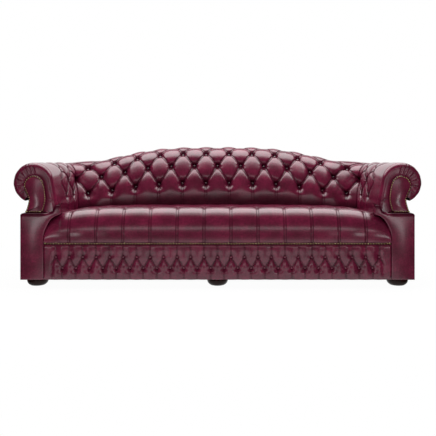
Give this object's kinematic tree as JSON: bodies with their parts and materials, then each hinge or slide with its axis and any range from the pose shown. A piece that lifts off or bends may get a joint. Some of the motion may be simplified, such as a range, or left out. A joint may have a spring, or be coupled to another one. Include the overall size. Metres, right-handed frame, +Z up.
{
  "type": "camelback sofa",
  "caption": "Camelback sofa with deep-buttoned leather back and rolled arms, a buttoned bench seat, a pleated front border, nail-head trim and turned wooden bun feet.",
  "frame": {"origin": "on the floor, at the bottom centre of the sofa's outer box", "axes": "+X to the viewer's right along the sofa's length, +Y from the seat's front to its back, +Z up"},
  "size_m": [2.54, 0.925, 0.8896],
  "materials": {
    "upholstery": "hand-rubbed glossy oxblood leather",
    "nail_trim": "antiqued brass upholstery nails",
    "feet": "turned hardwood, near-black brown gloss",
    "frame": "sawn beech, unfinished",
    "foam": "upholstery foam",
    "deck_cloth": "hessian over felt",
    "dust_cloth": "black non-woven bottom cloth",
    "springs": "oiled spring wire",
    "bolts": "zinc-plated hanger bolts"
  },
  "bodies": {
    "root": {"arm_base_cover_left": "upholstery", "arm_base_cover_right": "upholstery", "arm_cover_left": "upholstery", "arm_cover_right": "upholstery", "arm_facing_left": "upholstery", "arm_facing_right": "upholstery", "arm_foam_left": "foam", "arm_foam_right": "foam", "arm_nail_trim_left": "nail_trim", "arm_nail_trim_right": "nail_trim", "arm_top_rail_left": "frame", "arm_top_rail_right": "frame", "back_cover": "upholstery", "back_foam": "foam", "back_lower_rail": "frame", "back_post_left": "frame", "back_post_right": "frame", "back_rail": "frame", "back_stay_left": "frame", "back_stay_right": "frame", "border_cover": "upholstery", "crest_rail": "frame", "cross_rail_centre": "frame", "cross_rail_left": "frame", "cross_rail_right": "frame", "dust_cover": "dust_cloth", "foot_back_centre": "feet", "foot_back_left": "feet", "foot_back_right": "feet", "foot_bolt_back_centre": "bolts", "foot_bolt_back_left": "bolts", "foot_bolt_back_right": "bolts", "foot_bolt_front_centre": "bolts", "foot_bolt_front_left": "bolts", "foot_bolt_front_right": "bolts", "foot_front_centre": "feet", "foot_front_left": "feet", "foot_front_right": "feet", "front_post_left": "frame", "front_post_right": "frame", "front_rail": "frame", "outside_arm_cover_left": "upholstery", "outside_arm_cover_right": "upholstery", "outside_back_cover": "upholstery", "scroll_board_left": "frame", "scroll_board_right": "frame", "seat_cover": "upholstery", "seat_deck": "deck_cloth", "seat_foam": "foam", "seat_nail_trim": "nail_trim", "seat_spring_1": "springs", "seat_spring_2": "springs", "seat_spring_3": "springs", "seat_spring_4": "springs", "seat_spring_5": "springs", "seat_spring_6": "springs", "seat_spring_7": "springs", "seat_spring_8": "springs", "side_rail_left": "frame", "side_rail_right": "frame"}
  },
  "joints": []
}
